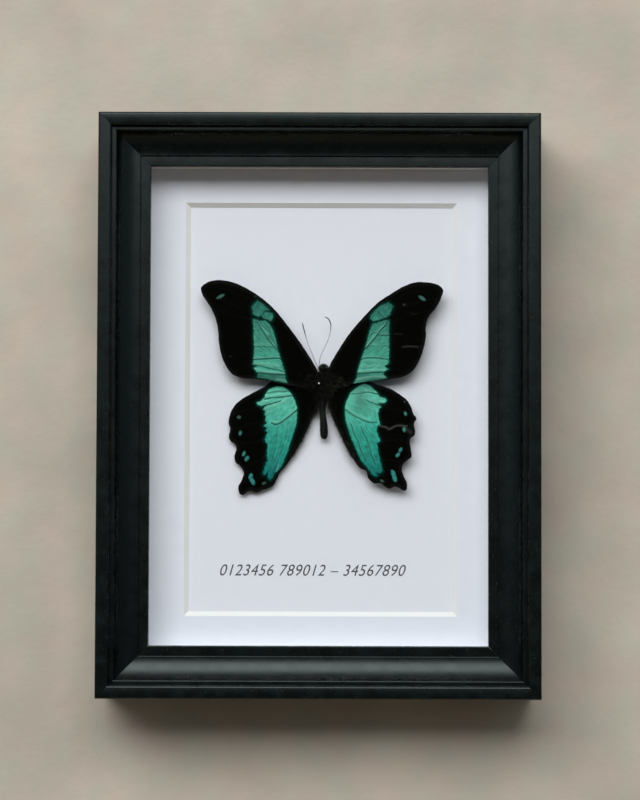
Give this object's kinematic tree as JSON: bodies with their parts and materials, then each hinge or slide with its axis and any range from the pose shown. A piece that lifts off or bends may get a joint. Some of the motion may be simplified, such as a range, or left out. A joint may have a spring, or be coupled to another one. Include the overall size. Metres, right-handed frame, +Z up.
{
  "type": "framed butterfly specimen",
  "caption": "Black moulded wall frame with glass and a bevelled white mat, holding a pinned black swallowtail with green-banded wings spread over white board.",
  "frame": {"origin": "the hanging point: the middle notch of the hanger, on the plane of the wall", "axes": "+X to the viewer's right, +Y into the wall, +Z up"},
  "size_m": [0.156, 0.036, 0.206],
  "materials": {
    "frame_paint": "satin black paint on wood moulding",
    "clear_glass": "clear polished sheet",
    "spacer_foam": "matt white foam strip",
    "mat_board": "matt cool white paper face with white bevel",
    "mount_board": "matt cool white card",
    "fibreboard": "brown hardboard, smooth face",
    "tab_steel": "dark oiled spring steel",
    "hanger_zinc": "zinc plated, dull",
    "body_hair": "black brown hair and scales",
    "wing_scales": "velvety black scales with a powdery green band",
    "antenna_horn": "black, slightly shiny",
    "pin_steel": "polished steel"
  },
  "bodies": {
    "root": {"rail_top": "frame_paint", "rail_bottom": "frame_paint", "rail_left": "frame_paint", "rail_right": "frame_paint", "glass": "clear_glass", "spacer_top": "spacer_foam", "spacer_bottom": "spacer_foam", "spacer_left": "spacer_foam", "spacer_right": "spacer_foam", "mat_board": "mat_board", "mount_board": "mount_board", "back_panel": "fibreboard", "back_tab_top": "tab_steel", "back_tab_bottom": "tab_steel", "back_tab_left_upper": "tab_steel", "back_tab_left_lower": "tab_steel", "back_tab_right_upper": "tab_steel", "back_tab_right_lower": "tab_steel", "sawtooth_hanger": "hanger_zinc", "hanger_rivet_left": "hanger_zinc", "hanger_rivet_right": "hanger_zinc", "butterfly_body": "body_hair", "forewing_left": "wing_scales", "forewing_right": "wing_scales", "hindwing_left": "wing_scales", "hindwing_right": "wing_scales", "antenna_left": "antenna_horn", "antenna_right": "antenna_horn", "specimen_pin": "pin_steel"}
  },
  "joints": []
}
